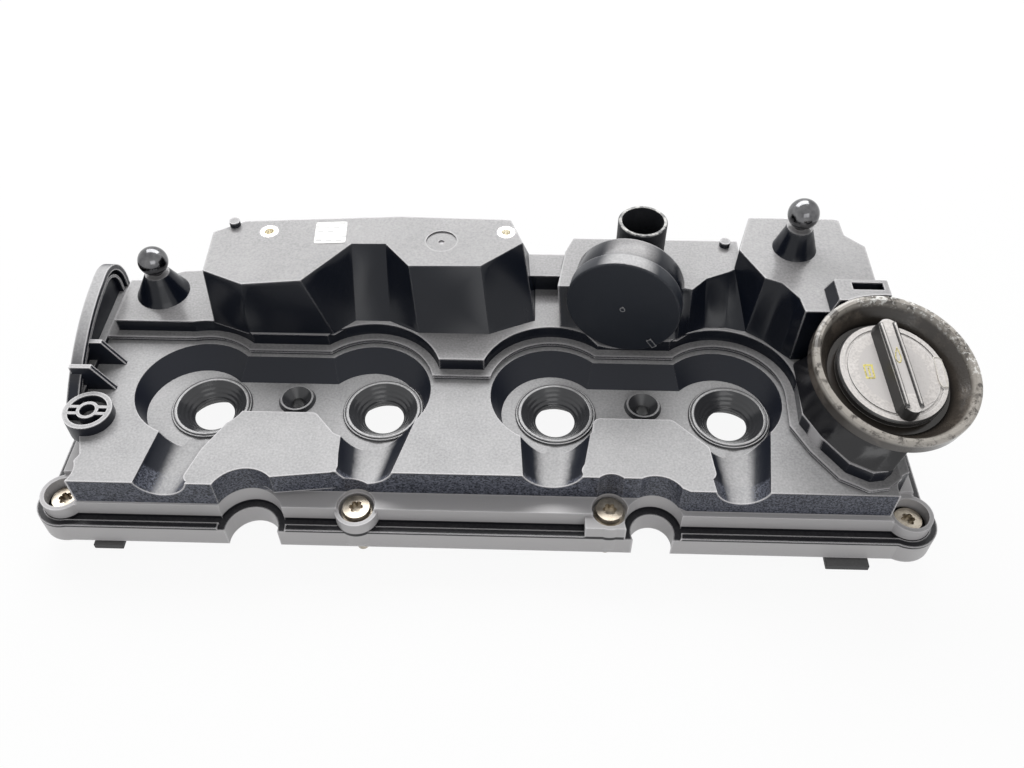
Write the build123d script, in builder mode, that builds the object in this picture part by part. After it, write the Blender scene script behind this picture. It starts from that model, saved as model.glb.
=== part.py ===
from build123d import *
import math
import os

# Cylinder-head cover of an in-line four diesel engine: a moulded lower cover that seals on the
# head, a breather housing welded on top with its pressure regulator and two ball studs, and a
# filler funnel with its cap. Millimetres. X runs along the engine, Y towards the back, Z up. The
# origin lies under the middle of the injector row, on the joint face.

# ---------------------------------------------------------------- driving dimensions
wall = 3.0  # moulded wall
over = 1.0  # how far cutting tools run past a face
play = 0.3  # gap between pieces that are not a fit

# joint flange and lower wall
flange_left = -207.0
flange_right = 226.0
flange_front = -61.6
flange_back = 104.0
flange_height = 11.5
flange_corner = 10.0
lip_height = 1.5
lip_width = 3.5
skirt_inset = 7.0  # the wall stands back from the flange's edge
ledge_height = 22.5
notch = (-103.4, -60.5, 12.8)  # rounded recess in the front: x, y, radius
small_notch = (91.4, -57.3, 10.4)
corner_boss = (58.5, flange_front, 82.5, -45.0)  # square boss of the third front screw
notch_step = 3.6  # the wall above a notch stands this much behind the flange
notch_land = 6.0  # width of the joint face round a notch
groove_inset = 1.5  # seal groove in the joint face
groove_width = 2.6
groove_depth = 3.0

# deck
deck_height = 39.0
deck_front = -45.0  # middle of the front edge
deck_left_front = -54.0
deck_right_front = -52.0
deck_left = -193.0  # at the front corner
deck_side = -196.0  # along the end arch
deck_right = 212.0
deck_back = 98.0

# screws
front_screws = [(-197.6, -47.5), (-52.2, -52.6), (70.4, -51.4), (215.7, -48.7)]
back_screws = [(-176.0, 94.0), (-60.0, 94.0), (37.0, 94.0), (207.0, 93.0)]
screws = front_screws + back_screws
boss_r = 10.7
boss_height = 20.5
bulge_r = 14.5
tool_r = 11.4  # room for the wrench above a boss
tool_room = [tool_r, 9.3, 8.7] + 5 * [tool_r]
recess_r = 8.6
seat_height = 10.5  # at the ends and the back
seats = [seat_height, 16.0, 17.0] + 5 * [seat_height]  # in the order of the screws
head_r = 7.6
head_height = 5.2
head_flange_height = 1.6
socket_r = 3.4
socket_depth = 3.2
screw_r = 3.0  # over the thread
shank_r = 2.65  # in the cover, rolled thinner than the thread
thread_start = 0.5  # below the joint face
screw_reach = 12.0  # below the joint face
sleeve_wall = 1.2
sleeve_play = 0.35

# injector wells
injector_pitch = 88.0
injectors = [injector_pitch * (i - 1.5) for i in range(4)]
well_shift = [-7.5, -7.0, -2.0, -5.0]  # the wells' rims lie to the left of their injectors
well_rim_r = 32.0
well_rim_y = 7.0
well_floor_r = 25.5
floor_height = 31.0
saddle_front = -8.6
saddle_rim_back = 30.4
saddle_floor_back = 17.6
injector_bore_r = 17.0
chimney_length = 14.0
seal_lip_r = 20.5
seal_lip = 1.5
seal_hole_r = 10.0
seal_funnel_r = 17.4
seal_funnel_depth = 7.5
clamps = [-89.2, 88.9]
clamp_y = 6.0
clamp_bore_r = 7.0
clamp_lip_r = 9.5
clamp_lip = 2.2
clamp_hole_r = 3.4
clamp_length = 12.0

# troughs from the wells to the front edge: left and right end of the mouth, lowest point
troughs = [(-157.2, -134.1, -148.8), (-60.1, -38.7, -51.9), (29.2, 53.8, 42.2), (120.5, 143.2, 134.5)]
trough_back_half = 19.0
trough_depth = 9.5
trough_back_depth = deck_height - floor_height
trough_back_y = -12.0

# raised lands between the wells
land_foot = 26.0
land_clamp_left = 26.0  # from the clamp bolt to the back corners
land_clamp_right = 13.0
land_back_right_y = -25.6
land_back_left_y = -33.3
land_lean = 2.0
land_corner = 4.0

# weld seam between cover and housing, followed at the housing's front edge
rib_height = 1.5
seam_thickness = 2.0
seam_back = 96.0
seam_left = -194.6
seam_right = 206.0
seam_margin = 4.5
seam_step = 0.8
seam_land = 0.6  # between a well's rim and the seam
seam_front = [38.6, 30.6, 15.0, 31.0]  # left end, over the left saddle, over the middle, over the right saddle
seam_neck = [(159.5, 4.0), (158.6, -13.4), (165.7, -28.8), (176.8, -45.1), (189.4, -51.7), (199.0, -50.0)]
left_corner = [(-122.0, 96.0), (-144.0, 88.5), (-163.0, 87.0), (-182.0, 79.0)]  # the housing is cut away here

# end arch, gussets and cable clip at the left
arch_x = -201.0
arch_thickness = 6.0
arch_web = 2.2
arch_rim = 3.0
arch_line = [(-12.0, 40.0), (26.0, 60.0), (57.0, 66.0), (75.5, 60.5), (81.0, 44.0)]  # y and z along its top
arch_rib = (2.5, 1.5, 1.2)  # rib in the recess: gap to the rim, width, how far it stands back
gusset_y = (5.0, 22.5)
gusset_thickness = 2.4
gusset_top = 55.0
gusset_foot_x = -180.5
clip_centre = (-187.7, -15.0)
clip_r = 12.0
clip_top = 45.0
clip_depth = 5.0
clip_wall = 2.4
clip_ring = (5.4, 3.8)  # round the middle hole: outer and inner radius
clip_bar = (2.1, 1.6)  # two bars: distance from the middle, width

# breather housing
housing_wall = 2.6
low_deck = 50.0
block_top = 84.0
bridge_height = 60.0
shelf_height = 72.0
block_outline = [
    (-135.6, 45.7), (-114.0, 36.0), (-85.0, 39.4), (-63.3, 68.3), (-45.6, 68.7), (-32.0, 51.9),
    (4.4, 52.7), (25.6, 71.5), (18.7, 89.9), (-40.1, 91.1), (-122.0, 85.0), (-137.0, 75.6),
]
shelf_outline = [
    (48.3, 79.4), (44.0, 52.0), (100.0, 52.0), (105.5, 53.2), (113.0, 51.1), (121.1, 59.6),
    (133.7, 65.4), (140.6, 70.0), (140.6, 90.0), (52.7, 90.0),
]
right_outline = [
    (147.5, 47.6), (155.4, 44.1), (162.3, 33.4), (163.5, 24.0), (202.0, 24.0), (202.5, 73.1),
    (193.5, 82.0), (193.0, 94.0), (190.0, 95.0), (145.4, 95.0), (137.3, 68.9),
]

# pressure regulator, a round can let into the housing's front
reg_centre = (76.4, 34.4, 73.3)  # middle of the lid's front
reg_turn = 13.0  # degrees the lid faces to the left
reg_r = 29.0
reg_lid_depth = 8.0
reg_lid_wall = 2.0
reg_can_r = 28.0
reg_can_depth = 13.0
reg_can_wall = 2.4
diaphragm_thickness = 1.2
plate_r = 14.0
plate_thickness = 2.0
spring_r = 8.0
spring_wire_r = 0.7
spring_turns = 3.5
valve_r = 6.0  # outlet behind the plate

# breather outlet
outlet_centre = (86.2, 70.6)
outlet_top = 100.4
outlet_r = 12.5
outlet_wall = 1.8
outlet_edge = 0.6
outlet_spigot = 3.0  # how deep the pipe is pushed into the housing
outlet_spigot_r = 11.8

# oil filler
rim_centre = (200.0, -11.5, 84.0)
funnel_lean = (0.11, -0.205, 0.973)
rim_r = 40.0
rim_band = 4.0
rim_round = 1.6
funnel_wall = 2.6
cap_below_rim = 5.0
cap_r = 26.8
cap_thickness = 4.0
funnel_floor_r = 29.5
funnel_drop = 13.0  # from the rim to the funnel's floor
mouth_r = 21.0
neck_outer_r = 31.0
funnel_clear_depth = 21.0
stem_r = 18.0
stem_length = 13.0
stem_wall = 2.5
lug_height = 2.5
lug_reach = 2.2
lug_arc = 44.0
lug_depth = 4.0  # mouth lip that the lugs pass
lug_play = 0.4
seal_thickness = 2.0
seal_width = 7.0
grip_width = 11.0
grip_height = 7.0
grip_turn = 98.0
grip_taper = 8.0
cap_groove = (22.0, 23.6, 0.6)  # inner radius, outer radius, depth

# ball studs
left_stud = (-169.6, 65.6)
right_stud = (165.7, 71.1)
left_ball_z = 72.0
right_ball_z = 106.0
ball_r = 7.8
stud_neck_r = 3.2
cone_foot_r = [14.5, 11.5]  # left, right
cone_top_r = 6.5
cone_gap = 8.0  # from the top of the cone to the middle of the ball
stud_sink = 7.0

# socket for a cable holder, behind the funnel
bracket_foot = (175.0, 23.0, 205.0, 40.5)
bracket_face = (178.0, 24.0, 203.6, 38.5)
bracket_top = 92.0
bracket_slot = (186.0, 31.5, 201.0, 36.6)
bracket_slot_depth = 6.0

# two locating pegs
pegs = [(-126.6, 81.6), (133.5, 86.5)]
peg_r = 2.8
peg_height = 3.0

# threaded inserts and sink marks on the block
inserts = [(-107.8, 77.1), (16.6, 79.8)]
insert_r = 4.6
insert_bore_r = 2.5
insert_depth = 10.0
dimple_centre = (-16.8, 71.8)
dimple_r = 8.0
dimple_depth = 0.8
dimple_hole_r = 1.6

# gasket
gasket_reach = 0.8  # bulge below the joint face
gasket_play = 0.1
tab_thickness = 3.0
tabs = [(-184.0, -169.4, -63.8), (177.0, 198.0, -66.0)]  # left, right, front

# regulator details
reg_vent_r = 1.4
reg_tab_reach = 26.0
reg_tab_angle = math.radians(-50.0)

# filler details
lug_angle = 20.0
gate_play = 3.0  # degrees
neck_outline = [
    (164.0, 23.0), (163.5, -12.0), (170.0, -26.5), (180.0, -40.5), (190.0, -46.0), (201.0, -46.0), (201.0, 23.0),
]
neck_corner = 4.0

# openings in the deck below the housing
baffle = (-120.0, 50.0, 120.0, 84.0)
baffle_rest = 4.0  # the baffle overlaps its opening by this much
baffle_thickness = 2.0
baffle_corner = 4.0
drain_pitch = 30.0
drain_r = 3.0
throat_r = 16.0
throat_centre = (183.0, -16.0)

os.makedirs("parts", exist_ok=True)


# ---------------------------------------------------------------- helpers
def block(points, bottom, height, corner=0.0, taper=0.0, mode=Mode.ADD):
    """A straight or tapered block on a plan outline, with rounded upright corners."""
    with BuildSketch(Plane.XY.offset(bottom)) as plan:
        with BuildLine():
            Polyline(*points, close=True)
        make_face()
        if corner:
            fillet(plan.vertices(), corner)
    extrude(plan.sketch, amount=height, taper=taper, mode=mode)


def oblong(left, front, right, back):
    """The four corners of a rectangle, from its sides."""
    return [(left, front), (right, front), (right, back), (left, back)]


def drum(centre, bottom, height, radius, top_radius=None, mode=Mode.ADD):
    """An upright cylinder or cone that stands at the height given."""
    top_radius = radius if top_radius is None else top_radius
    with Locations((centre[0], centre[1], bottom)):
        if radius == top_radius:
            Cylinder(radius, height, align=(Align.CENTER, Align.CENTER, Align.MIN), mode=mode)
        else:
            Cone(radius, top_radius, height, align=(Align.CENTER, Align.CENTER, Align.MIN), mode=mode)


def shifted(points, inwards):
    """The outline moved inwards by a wall, its corners kept."""
    with BuildSketch(mode=Mode.PRIVATE) as plan:
        with BuildLine():
            Polyline(*points, close=True)
        make_face()
        offset(amount=-inwards, kind=Kind.INTERSECTION)
    corners = plan.sketch.faces().sort_by(SortBy.AREA)[-1].outer_wire().order_edges()
    return [(edge.start_point().X, edge.start_point().Y) for edge in corners]


def flange_plan(height, inset):
    """The joint flange's outline at a height, moved inwards: a plate with two bulges and two notches."""
    with BuildSketch(Plane.XY.offset(height), mode=Mode.PRIVATE) as plan:
        with BuildLine():
            Polyline(
                *oblong(flange_left + inset, flange_front + inset, flange_right - inset, flange_back - inset),
                close=True,
            )
        make_face()
        fillet(plan.vertices(), flange_corner - inset)
        with Locations(front_screws[0], front_screws[3]):
            Circle(bulge_r - inset)
        for x, y, radius in (notch, small_notch):
            with Locations((x, y)):
                Circle(radius + inset, mode=Mode.SUBTRACT)
    return plan.sketch


def flange_ring(height, outer_inset, inner_inset):
    """The band between two outlines of the flange."""
    with BuildSketch(Plane.XY.offset(height), mode=Mode.PRIVATE) as ring:
        add(flange_plan(height, outer_inset))
        add(flange_plan(height, inner_inset), mode=Mode.SUBTRACT)
    return ring.sketch


def wells(gap, mode):
    """The four wells, the saddles between them and the troughs, grown by a gap all round."""
    for x, shift in zip(injectors, well_shift):
        with BuildSketch(Plane.XY.offset(deck_height + over)) as rim:
            with Locations((x + shift, well_rim_y)):
                Circle(well_rim_r + gap)
        with BuildSketch(Plane.XY.offset(floor_height - gap)) as floor:
            with Locations((x + shift, 0)):
                Circle(well_floor_r + gap)
        loft([floor.sketch.face(), rim.sketch.face()], mode=mode)
    for left, right in ((0, 1), (2, 3)):
        x0 = injectors[left] + well_shift[left]
        x1 = injectors[right] + well_shift[right]
        with BuildSketch(Plane.XY.offset(deck_height + over)) as rim:
            with BuildLine():
                Polyline(*oblong(x0, saddle_front - gap, x1, saddle_rim_back + gap), close=True)
            make_face()
        with BuildSketch(Plane.XY.offset(floor_height - gap)) as floor:
            with BuildLine():
                Polyline(*oblong(x0, saddle_front - gap, x1, saddle_floor_back + gap), close=True)
            make_face()
        loft([floor.sketch.face(), rim.sketch.face()], mode=mode)
    for x, (left, right, low) in zip(injectors, troughs):
        top = deck_height + over
        back_arc = [
            (x - trough_back_half - gap, top),
            (x, deck_height - trough_back_depth - gap),
            (x + trough_back_half + gap, top),
        ]
        front_arc = [(left - gap, top), (low, deck_height - trough_depth - gap), (right + gap, top)]
        with BuildSketch(Plane.XZ.offset(-trough_back_y)) as back:
            with BuildLine():
                ThreePointArc(*back_arc)
                Line(back_arc[0], back_arc[2])
            make_face()
        with BuildSketch(Plane.XZ.offset(-flange_front)) as front:
            with BuildLine():
                ThreePointArc(*front_arc)
                Line(front_arc[0], front_arc[2])
            make_face()
        loft([back.sketch.face(), front.sketch.face()], mode=mode)


def lands(gap, mode=Mode.ADD):
    """The two raised lands between the wells, shrunk by a gap all round."""
    for left, right in ((0, 1), (2, 3)):
        front = deck_front if left else deck_left_front
        outline = [
            (troughs[left][1], front),
            (troughs[right][0], deck_front),
            (troughs[right][0] - land_lean, land_back_right_y),
            (clamps[left // 2] + land_clamp_right, saddle_front),
            (clamps[left // 2] - land_clamp_left, saddle_front),
            (troughs[left][1] + 3 * land_lean, land_back_left_y),
        ]
        outline = shifted(outline, gap) if gap else outline
        block(outline, land_foot, deck_height - land_foot - gap, land_corner, mode=mode)


def seam_plan(height, inset):
    """The weld seam's outline at a height, moved inwards: it runs round the rims of the wells."""
    with BuildSketch(Plane.XY.offset(height), mode=Mode.PRIVATE) as plan:
        with BuildLine():
            Polyline(*seam_outline, close=True)
        make_face()
        if inset:
            offset(amount=-inset, kind=Kind.INTERSECTION)
        for x, shift in zip(injectors, well_shift):
            with Locations((x + shift, well_rim_y)):
                Circle(well_rim_r + seam_land + inset, mode=Mode.SUBTRACT)
    return plan.sketch.faces().sort_by(SortBy.AREA)[-1]


well_x = [x + shift for x, shift in zip(injectors, well_shift)]
deck_outline = [
    (deck_left, deck_left_front), (-112.0, deck_left_front), (-100.0, deck_front), (86.0, deck_front),
    (98.0, -47.3), (107.0, deck_right_front), (deck_right, deck_right_front), (deck_right, deck_back),
    (-140.0, deck_back), (-160.0, 93.0), (-182.0, 82.0), (deck_side, 82.0), (deck_side, -8.0),
    (deck_left + 7.0, -38.0),
]
flange_outline = oblong(flange_left, flange_front, flange_right, flange_back)
seam_outline = [
    (seam_left, seam_front[0]), (well_x[0], seam_front[0]), (well_x[0], seam_front[1]),
    (well_x[1], seam_front[1]), (well_x[1], seam_front[2]), (well_x[2], seam_front[2]),
    (well_x[2], seam_front[3]), (well_x[3], seam_front[3]), (well_x[3], seam_neck[0][1]), *seam_neck,
    (seam_right, -44.0), (seam_right, seam_back), *left_corner, (seam_left, left_corner[-1][1]),
]

# ---------------------------------------------------------------- lower cover
with BuildPart() as underside:
    # the hollow below, one wall inside the outer form
    block(shifted(flange_outline, skirt_inset + wall), -over, ledge_height - wall + over)
    block(shifted(deck_outline, wall), -over, deck_height - wall + over)
    wells(wall, Mode.SUBTRACT)
    lands(wall)
    for x in injectors:
        drum((x, 0), floor_height - chimney_length, chimney_length, injector_bore_r + wall, mode=Mode.SUBTRACT)
    for x in clamps:
        drum((x, clamp_y), floor_height - clamp_length, clamp_length, clamp_bore_r + wall, mode=Mode.SUBTRACT)
    for centre, room in zip(screws, tool_room):
        drum(centre, -over, deck_height + over, boss_r, mode=Mode.SUBTRACT)
        drum(centre, boss_height - wall, deck_height, room + wall, mode=Mode.SUBTRACT)
    block(oblong(*corner_boss), -over, boss_height + over, mode=Mode.SUBTRACT)
    for x, y, radius in (notch, small_notch):
        drum((x, y), flange_height - wall, deck_height, radius + notch_step + wall, mode=Mode.SUBTRACT)
        drum((x, y), -over, flange_height + over, radius + notch_land, mode=Mode.SUBTRACT)

with BuildPart() as land_core:
    # the hollow inside the two lands; it keeps a wall round the notches and the wrench room
    lands(wall)
    for x, y, radius in (notch, small_notch):
        drum((x, y), 0, 2 * deck_height, radius + notch_step + wall, mode=Mode.SUBTRACT)
    for centre, room in zip(screws, tool_room):
        drum(centre, 0, 2 * deck_height, room + wall, mode=Mode.SUBTRACT)

with BuildPart() as base_cover:
    extrude(flange_plan(0, 0), amount=flange_height + lip_height)
    extrude(flange_plan(flange_height, lip_width), amount=2 * lip_height, mode=Mode.SUBTRACT)
    groove = flange_ring(-over, groove_inset, groove_inset + groove_width)
    extrude(groove, amount=groove_depth + over, mode=Mode.SUBTRACT)
    block(shifted(flange_outline, skirt_inset), groove_depth, ledge_height - groove_depth, flange_corner / 2)
    block(deck_outline, ledge_height - over, deck_height - ledge_height + over)
    for x, y in screws:
        drum((x, y), groove_depth, boss_height - groove_depth, boss_r)
    block(oblong(*corner_boss), groove_depth, boss_height - groove_depth)
    extrude(seam_plan(deck_height - over, seam_step), amount=over + rib_height)
    extrude(seam_plan(deck_height, seam_margin + wall), amount=2 * rib_height, mode=Mode.SUBTRACT)

    # end arch at the left, with the gussets that carry it
    with BuildSketch(Plane.YZ.offset(arch_x)) as arch:
        with BuildLine():
            ThreePointArc(*arch_line[:3])
            ThreePointArc(*arch_line[2:])
            Polyline(
                arch_line[-1], (arch_line[-1][0], flange_height), (arch_line[0][0], flange_height), arch_line[0],
            )
        make_face()
    extrude(arch.sketch, amount=arch_thickness)
    arch_gap, arch_rib_width, arch_rib_step = arch_rib
    for inset, depth, mode in (
        (arch_rim, arch_web, Mode.SUBTRACT),
        (arch_rim + arch_gap, arch_web, Mode.ADD),
        (arch_rim + arch_gap + arch_rib_width, arch_web, Mode.SUBTRACT),
    ):
        with BuildSketch(Plane.YZ.offset(arch_x + depth)) as recess:
            add(arch.sketch_local.face())
            offset(amount=-inset)
            with Locations((arch_line[2][0], 0)):
                Rectangle(flange_back - flange_front, 2 * (deck_height + arch_rim), mode=Mode.SUBTRACT)
        reach = arch_thickness - depth
        extrude(recess.sketch, amount=reach - arch_rib_step if mode == Mode.ADD else reach + over, mode=mode)
    for y in gusset_y:
        with BuildSketch(Plane.XZ.offset(-y)) as gusset:
            with BuildLine():
                Polyline(
                    (arch_x + over, deck_height - 2 * wall),
                    (arch_x + over, gusset_top),
                    (arch_x + 2 * arch_thickness, gusset_top),
                    (gusset_foot_x, deck_height),
                    (gusset_foot_x, deck_height - 2 * wall),
                    close=True,
                )
            make_face()
        extrude(gusset.sketch, amount=gusset_thickness / 2, both=True)

    # cable clip seat
    drum(clip_centre, deck_height - 2 * wall, clip_top - deck_height + 2 * wall, clip_r)
    with BuildSketch(Plane.XY.offset(clip_top)) as clip_slots:
        with Locations(clip_centre):
            Circle(clip_r - clip_wall)
            Circle(clip_ring[0], mode=Mode.SUBTRACT)
        for side in (-1, 1):
            with Locations((clip_centre[0], clip_centre[1] + side * clip_bar[0])):
                Rectangle(2 * clip_r, clip_bar[1], mode=Mode.SUBTRACT)
        with Locations(clip_centre):
            Circle(clip_ring[1])
    extrude(clip_slots.sketch, amount=-clip_depth, mode=Mode.SUBTRACT)

    add(underside.part, mode=Mode.SUBTRACT)
    wells(0, Mode.SUBTRACT)
    lands(0)
    add(land_core.part, mode=Mode.SUBTRACT)
    for x, y, radius in (notch, small_notch):
        drum((x, y), flange_height, deck_height, radius + notch_step, mode=Mode.SUBTRACT)
        drum((x, y), -over, deck_height, radius, mode=Mode.SUBTRACT)
    for x in injectors:
        drum((x, 0), 0, deck_height, injector_bore_r, mode=Mode.SUBTRACT)
        drum((x, 0), floor_height, deck_height, seal_lip_r + play, mode=Mode.SUBTRACT)
    for x in clamps:
        drum((x, clamp_y), 0, deck_height, clamp_bore_r, mode=Mode.SUBTRACT)
    for centre, seat, room in zip(screws, seats, tool_room):
        drum(centre, -over, deck_height, screw_r + sleeve_play + sleeve_wall, mode=Mode.SUBTRACT)
        drum(centre, seat, deck_height, recess_r, mode=Mode.SUBTRACT)
        drum(centre, boss_height, deck_height, room, mode=Mode.SUBTRACT)
    block(shifted(oblong(*baffle), baffle_rest), ledge_height, deck_height, mode=Mode.SUBTRACT)
    drum(throat_centre, ledge_height, deck_height, throat_r, mode=Mode.SUBTRACT)
base_cover.part.label = "base_cover"
export_step(base_cover.part, "parts/base_cover.step")

# ---------------------------------------------------------------- breather housing
seam_top = deck_height + rib_height + seam_thickness
lean = Vector(*funnel_lean).normalized()
radial = Vector(lean.Z, 0, -lean.X).normalized()
rim_plane = Plane(origin=rim_centre, x_dir=radial, z_dir=lean)
section_plane = Plane(origin=rim_centre, x_dir=radial, z_dir=radial.cross(lean))
filler_axis = Axis(rim_centre, lean)
reg_plane = Plane(
    origin=reg_centre,
    x_dir=(math.cos(math.radians(reg_turn)), -math.sin(math.radians(reg_turn)), 0),
    z_dir=(-math.sin(math.radians(reg_turn)), -math.cos(math.radians(reg_turn)), 0),
)
block_foot = [
    (-137.0, 43.5), (-118.0, 36.0), (-72.0, 36.0), (-62.0, 45.5), (-44.0, 45.5), (-28.0, 37.5),
    (9.0, 37.5), (33.0, 48.0), (33.0, 92.0), (-40.0, 93.0), (-124.0, 88.0), (-139.0, 78.0),
]
shelf_foot = [
    (45.0, 84.0), (46.0, 44.5), (100.0, 36.0), (107.0, 36.5), (113.0, 41.5), (122.0, 45.0),
    (133.0, 45.0), (144.0, 42.0), (144.0, 92.5), (49.0, 92.5),
]
right_foot = [
    (143.0, 43.0), (151.0, 37.0), (158.5, 28.5), (163.0, 24.0), (202.0, 24.0), (204.0, 74.0),
    (195.0, 83.0), (194.5, 94.5), (191.0, 95.5), (143.5, 95.5), (135.0, 66.0),
]
bridge_outline = oblong(24.0, 73.0, 54.0, 90.5)


def frustum(foot, top, bottom, height, mode=Mode.ADD):
    """A body with sloping sides between two outlines with the same corners."""
    with BuildSketch(Plane.XY.offset(bottom)) as lower:
        with BuildLine():
            Polyline(*foot, close=True)
        make_face()
    with BuildSketch(Plane.XY.offset(bottom + height)) as upper:
        with BuildLine():
            Polyline(*top, close=True)
        make_face()
    loft([lower.sketch.face(), upper.sketch.face()], ruled=True, mode=mode)


def turned(points, mode=Mode.ADD):
    """A body turned round the filler's axis; heights count from the rim."""
    with BuildSketch(section_plane) as profile:
        with BuildLine():
            Polyline(*points, close=True)
        make_face()
    revolve(profile.sketch, axis=filler_axis, mode=mode)


def filler_room(gap):
    """Cut the room that the filler funnel takes, grown by a gap."""
    turned([
        (0, -funnel_clear_depth - gap), (neck_outer_r + gap, -funnel_clear_depth - gap),
        (rim_r + gap, -2 * rim_band - gap), (rim_r + gap, rim_r), (0, rim_r),
    ], mode=Mode.SUBTRACT)


def lid_room(gap):
    """Cut the room that the regulator's lid takes, grown by a gap."""
    with BuildSketch(reg_plane.offset(-reg_lid_depth - gap)) as room:
        Circle(reg_r + gap)
    extrude(room.sketch, amount=2 * reg_r, mode=Mode.SUBTRACT)


def can(radius, start, depth, mode=Mode.ADD):
    """A round body behind the regulator's lid; start and depth count backwards from the lid's rim."""
    with BuildSketch(reg_plane.offset(-reg_lid_depth - start)) as disc:
        Circle(radius)
    extrude(disc.sketch, amount=-depth, mode=mode)


with BuildPart() as housing_inside:
    lower_top = low_deck - housing_wall
    extrude(seam_plan(deck_height, seam_margin + housing_wall), amount=lower_top - deck_height)
    for outline, top in ((block_outline, block_top), (shelf_outline, shelf_height), (right_outline, block_top)):
        block(shifted(outline, 2 * housing_wall), lower_top - over, top - housing_wall - lower_top + over)
    filler_room(2 * housing_wall)
    lid_room(2 * housing_wall)
    can(reg_can_r, 0, reg_can_depth, mode=Mode.SUBTRACT)
    for centre in inserts:
        drum(centre, block_top - insert_depth - housing_wall, block_top, insert_r + housing_wall, mode=Mode.SUBTRACT)
    for centre, ball_z in ((left_stud, left_ball_z), (right_stud, right_ball_z)):
        socket_bottom = ball_z - cone_gap - stud_sink
        drum(centre, socket_bottom - housing_wall, block_top, stud_neck_r + housing_wall, mode=Mode.SUBTRACT)
    outlet_socket = shelf_height - outlet_spigot
    drum(outlet_centre, outlet_socket - housing_wall, block_top, outlet_r + housing_wall, mode=Mode.SUBTRACT)

with BuildPart() as breather_housing:
    extrude(seam_plan(deck_height + rib_height, 0), amount=seam_thickness)
    extrude(seam_plan(seam_top - over, seam_margin), amount=low_deck - seam_top + over)
    frustum(block_foot, block_outline, low_deck - over, block_top - low_deck + over)
    frustum(shelf_foot, shelf_outline, low_deck - over, shelf_height - low_deck + over)
    block(bridge_outline, low_deck - over, bridge_height - low_deck + over)
    frustum(right_foot, right_outline, low_deck - over, block_top - low_deck + over)
    frustum(oblong(*bracket_foot), oblong(*bracket_face), block_top - over, bracket_top - block_top + over)
    for centre, foot_height in zip(pegs, (block_top, shelf_height)):
        drum(centre, foot_height - over, peg_height + over, peg_r)
    filler_room(play)
    lid_room(play)
    can(reg_can_r, 0, reg_can_depth)
    drum(left_stud, low_deck - over, left_ball_z - cone_gap - low_deck + over, cone_foot_r[0], cone_top_r)
    drum(right_stud, block_top - over, right_ball_z - cone_gap - block_top + over, cone_foot_r[1], cone_top_r)
    add(housing_inside.part, mode=Mode.SUBTRACT)
    block(oblong(*bracket_slot), bracket_top - bracket_slot_depth, bracket_top, mode=Mode.SUBTRACT)
    for centre, ball_z in ((left_stud, left_ball_z), (right_stud, right_ball_z)):
        drum(centre, ball_z - cone_gap - stud_sink, 2 * stud_sink, stud_neck_r, mode=Mode.SUBTRACT)
    for centre in inserts:
        drum(centre, block_top - insert_depth, 2 * insert_depth, insert_r, mode=Mode.SUBTRACT)
    drum(dimple_centre, block_top - dimple_depth, 2 * dimple_depth, dimple_r, mode=Mode.SUBTRACT)
    drum(dimple_centre, block_top - 2 * dimple_depth, 2 * dimple_depth, dimple_hole_r, mode=Mode.SUBTRACT)
    drum(outlet_centre, shelf_height - outlet_spigot, 4 * outlet_spigot, outlet_spigot_r, mode=Mode.SUBTRACT)
    drum(outlet_centre, lower_top, shelf_height, outlet_r - outlet_wall, mode=Mode.SUBTRACT)
    drum(throat_centre, deck_height, deck_height, throat_r, mode=Mode.SUBTRACT)
    can(reg_can_r - reg_can_wall, 0, reg_can_depth - reg_can_wall, mode=Mode.SUBTRACT)
    can(valve_r, 0, 2 * reg_can_depth, mode=Mode.SUBTRACT)
breather_housing.part.label = "breather_housing"
export_step(breather_housing.part, "parts/breather_housing.step")

# ---------------------------------------------------------------- pressure regulator
with BuildPart() as regulator_lid:
    with BuildSketch(reg_plane) as lid_face:
        Circle(reg_r)
    extrude(lid_face.sketch, amount=-reg_lid_depth)
    with BuildSketch(reg_plane.offset(-reg_lid_wall)) as lid_inside:
        Circle(reg_r - reg_lid_wall)
    extrude(lid_inside.sketch, amount=-reg_lid_depth, mode=Mode.SUBTRACT)
    fillet(regulator_lid.edges().filter_by(GeomType.CIRCLE).group_by(SortBy.RADIUS)[-1].group_by(Axis.Y)[0], over)
    with BuildSketch(reg_plane) as marks:
        Circle(reg_vent_r)
        with Locations((reg_tab_reach * math.cos(reg_tab_angle), reg_tab_reach * math.sin(reg_tab_angle))):
            Rectangle(2 * reg_vent_r, 4 * reg_vent_r, rotation=math.degrees(reg_tab_angle) + 90)
    extrude(marks.sketch, amount=reg_vent_r / 2, both=True)
regulator_lid.part.label = "regulator_lid"
export_step(regulator_lid.part, "parts/regulator_lid.step")

diaphragm_plane = reg_plane.offset(-reg_lid_depth)
with BuildPart() as regulator_diaphragm:
    with BuildSketch(diaphragm_plane) as membrane:
        Circle(reg_r - reg_lid_wall - play)
    extrude(membrane.sketch, amount=diaphragm_thickness)
regulator_diaphragm.part.label = "regulator_diaphragm"
export_step(regulator_diaphragm.part, "parts/regulator_diaphragm.step")

with BuildPart() as regulator_plate:
    with BuildSketch(diaphragm_plane.offset(diaphragm_thickness)) as disc:
        Circle(plate_r)
    extrude(disc.sketch, amount=plate_thickness)
regulator_plate.part.label = "regulator_plate"
export_step(regulator_plate.part, "parts/regulator_plate.step")

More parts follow.
